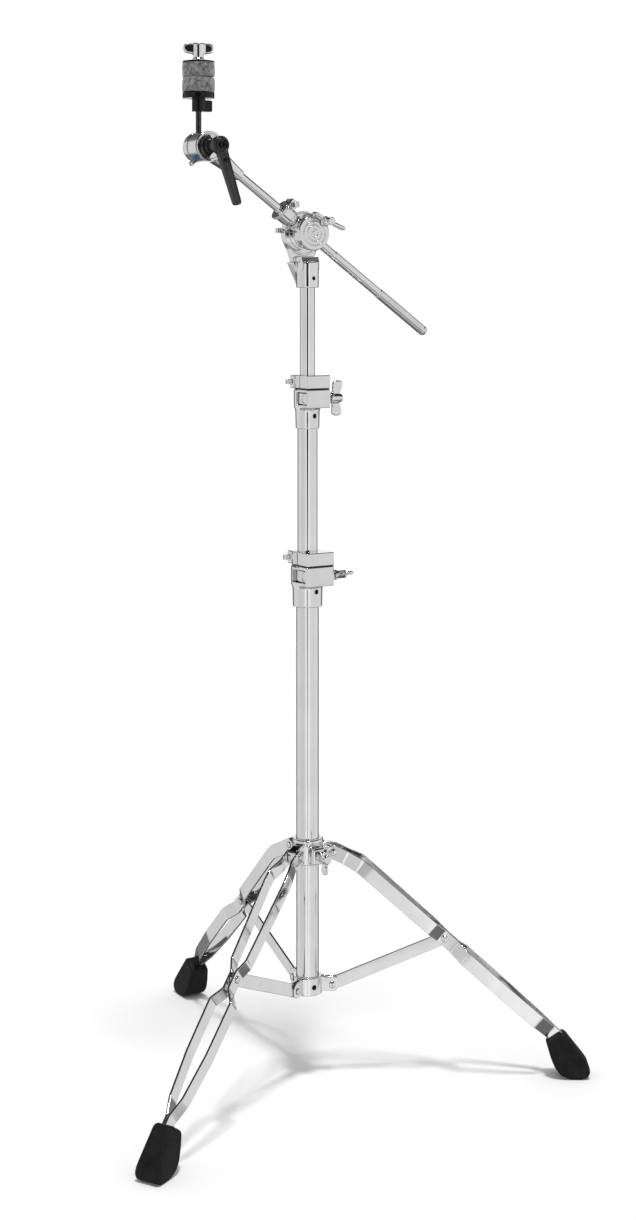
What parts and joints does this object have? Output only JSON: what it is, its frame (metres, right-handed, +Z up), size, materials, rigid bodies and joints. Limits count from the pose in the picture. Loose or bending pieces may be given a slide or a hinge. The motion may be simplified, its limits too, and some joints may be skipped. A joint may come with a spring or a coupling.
{
  "type": "cymbal boom stand",
  "caption": "Chromed cymbal stand with a folding double-braced tripod, telescoping tubes and a sliding boom on a tilter.",
  "frame": {"origin": "centre of the footprint's bounding box, on the floor under the stand", "axes": "+Z up along the column; +X toward the foot of leg c, which points to the right in the front view; +Y away from the front"},
  "size_m": [0.5498, 0.6334, 1.302],
  "materials": {
    "chrome": "mirror chrome plating",
    "black_plastic": "satin moulded black nylon",
    "rubber": "matt moulded rubber",
    "felt": "pressed grey wool felt",
    "nylon": "plain moulded nylon"
  },
  "bodies": {
    "base": {"base_tube": "chrome", "lower_collar": "chrome", "collar_screw": "chrome", "collar_pin_a": "chrome", "collar_pin_b": "chrome", "collar_pin_c": "chrome", "lower_clamp": "chrome", "lower_bushing": "nylon", "lower_shoe": "chrome"},
    "hub_slider": {"hub": "chrome", "hub_pin_a": "chrome", "hub_pin_b": "chrome", "hub_pin_c": "chrome"},
    "hub_bolt": {"hub_wing_bolt": "chrome"},
    "leg_a": {"leg_strip_left_a": "chrome", "leg_strip_right_a": "chrome", "leg_rivet_left_a": "chrome", "leg_rivet_right_a": "chrome", "foot_a": "rubber"},
    "brace_link_a": {"brace_a": "chrome"},
    "leg_b": {"leg_strip_left_b": "chrome", "leg_strip_right_b": "chrome", "leg_rivet_left_b": "chrome", "leg_rivet_right_b": "chrome", "foot_b": "rubber"},
    "brace_link_b": {"brace_b": "chrome"},
    "leg_c": {"leg_strip_left_c": "chrome", "leg_strip_right_c": "chrome", "leg_rivet_left_c": "chrome", "leg_rivet_right_c": "chrome", "foot_c": "rubber"},
    "brace_link_c": {"brace_c": "chrome"},
    "lower_bolt": {"lower_wing_bolt": "chrome"},
    "lower_lock": {"lower_memory_lock": "chrome", "lower_key_screw": "chrome"},
    "mid_section": {"mid_tube": "chrome", "upper_clamp": "chrome", "upper_bushing": "nylon", "upper_shoe": "chrome"},
    "upper_bolt": {"upper_wing_bolt": "chrome"},
    "upper_lock": {"upper_memory_lock": "chrome", "upper_key_screw": "chrome"},
    "top_section": {"upper_tube": "chrome", "yoke": "chrome", "yoke_key_screw": "chrome"},
    "boom_tilter": {"tilter_body": "chrome", "tilter_cap": "chrome"},
    "tilter_bolt": {"tilter_wing_bolt": "chrome"},
    "boom_lock": {"boom_memory_lock": "chrome", "boom_key_screw": "chrome"},
    "boom": {"boom_rod": "chrome", "boom_head": "chrome"},
    "lever": {"ratchet_lever": "black_plastic"},
    "cymbal_holder": {"cymbal_tilter": "chrome", "cymbal_rod": "chrome", "cymbal_seat": "black_plastic", "lower_felt": "felt", "upper_felt": "felt", "cup_washer": "chrome"},
    "top_nut": {"wing_nut": "chrome"}
  },
  "joints": [
    {"name": "hub_slide", "type": "slide", "parent": "base", "child": "hub_slider", "axis": [0, 0, 1], "range_m": [0, 0.16151]},
    {"name": "leg_fold_a", "type": "hinge", "parent": "hub_slider", "child": "leg_a", "pos_m": [-0.1002, 0.02806, 0.2877], "axis": [-0.866, -0.5, 0], "range_deg": [0, 45]},
    {"name": "leg_fold_b", "type": "hinge", "parent": "hub_slider", "child": "leg_b", "pos_m": [-0.1002, -0.02806, 0.2877], "axis": [0.866, -0.5, 0], "range_deg": [0, 45]},
    {"name": "leg_fold_c", "type": "hinge", "parent": "hub_slider", "child": "leg_c", "pos_m": [-0.0516, 0, 0.2877], "axis": [0, 1, 0], "range_deg": [0, 45]},
    {"name": "brace_fold_a", "type": "hinge", "parent": "base", "child": "brace_link_a", "pos_m": [-0.09965, 0.02711, 0.1178], "axis": [0.866, 0.5, 0], "range_deg": [0, 59.47]},
    {"name": "brace_fold_b", "type": "hinge", "parent": "base", "child": "brace_link_b", "pos_m": [-0.09965, -0.02711, 0.1178], "axis": [-0.866, 0.5, 0], "range_deg": [0, 59.47]},
    {"name": "brace_fold_c", "type": "hinge", "parent": "base", "child": "brace_link_c", "pos_m": [-0.0527, 0, 0.1178], "axis": [0, -1, 0], "range_deg": [0, 59.47]},
    {"name": "hub_bolt_turn", "type": "hinge", "parent": "hub_slider", "child": "hub_bolt", "pos_m": [-0.084, 0, 0.2877], "axis": [0.5, -0.866, 0], "continuous": true},
    {"name": "lower_bolt_turn", "type": "hinge", "parent": "base", "child": "lower_bolt", "pos_m": [-0.0737, -0.01714, 0.6384], "axis": [0.8572, 0.515, 0], "continuous": true},
    {"name": "mid_turn", "type": "hinge", "parent": "base", "child": "lower_lock", "pos_m": [-0.084, 0, 0.6508], "axis": [0, 0, 1], "continuous": true},
    {"name": "mid_slide", "type": "slide", "parent": "lower_lock", "child": "mid_section", "axis": [0, 0, 1], "range_m": [-0.15, 0.11]},
    {"name": "upper_bolt_turn", "type": "hinge", "parent": "mid_section", "child": "upper_bolt", "pos_m": [-0.07534, -0.01442, 0.8617], "axis": [0.8572, 0.515, 0], "continuous": true},
    {"name": "upper_turn", "type": "hinge", "parent": "mid_section", "child": "upper_lock", "pos_m": [-0.084, 0, 0.8734], "axis": [0, 0, 1], "continuous": true},
    {"name": "upper_slide", "type": "slide", "parent": "upper_lock", "child": "top_section", "axis": [0, 0, 1], "range_m": [-0.105, 0.13]},
    {"name": "boom_tilt", "type": "hinge", "parent": "top_section", "child": "boom_tilter", "pos_m": [-0.084, 0, 1.07], "axis": [0.515, -0.8572, 0], "range_deg": [-19.4, 55.6]},
    {"name": "tilter_bolt_turn", "type": "hinge", "parent": "boom_tilter", "child": "tilter_bolt", "pos_m": [-0.07193, 0.00725, 1.08452], "axis": [0.515, -0.8572, 0], "continuous": true},
    {"name": "boom_turn", "type": "hinge", "parent": "boom_tilter", "child": "boom_lock", "pos_m": [-0.084, 0, 1.07], "axis": [-0.697, -0.4188, 0.5821], "continuous": true},
    {"name": "boom_slide", "type": "slide", "parent": "boom_lock", "child": "boom", "axis": [-0.697, -0.4188, 0.5821], "range_m": [-0.064, 0.1]},
    {"name": "cymbal_tilt", "type": "hinge", "parent": "boom", "child": "cymbal_holder", "pos_m": [-0.20841, -0.07475, 1.17391], "axis": [0.515, -0.8572, 0], "range_deg": [-75, 90]},
    {"name": "lever_turn", "type": "hinge", "parent": "boom", "child": "lever", "pos_m": [-0.20841, -0.07475, 1.17391], "axis": [0.515, -0.8572, 0], "continuous": true},
    {"name": "wing_nut_turn", "type": "hinge", "parent": "cymbal_holder", "child": "top_nut", "pos_m": [-0.21763, -0.05941, 1.17391], "axis": [0, 0, 1], "continuous": true}
  ],
  "couplings": [
    {"joint": "leg_fold_a", "follows": "hub_slide", "rad_per_m": 4.8628},
    {"joint": "leg_fold_b", "follows": "hub_slide", "rad_per_m": 4.8628},
    {"joint": "leg_fold_c", "follows": "hub_slide", "rad_per_m": 4.8628},
    {"joint": "brace_fold_a", "follows": "hub_slide", "rad_per_m": 6.4256},
    {"joint": "brace_fold_b", "follows": "hub_slide", "rad_per_m": 6.4256},
    {"joint": "brace_fold_c", "follows": "hub_slide", "rad_per_m": 6.4256}
  ]
}
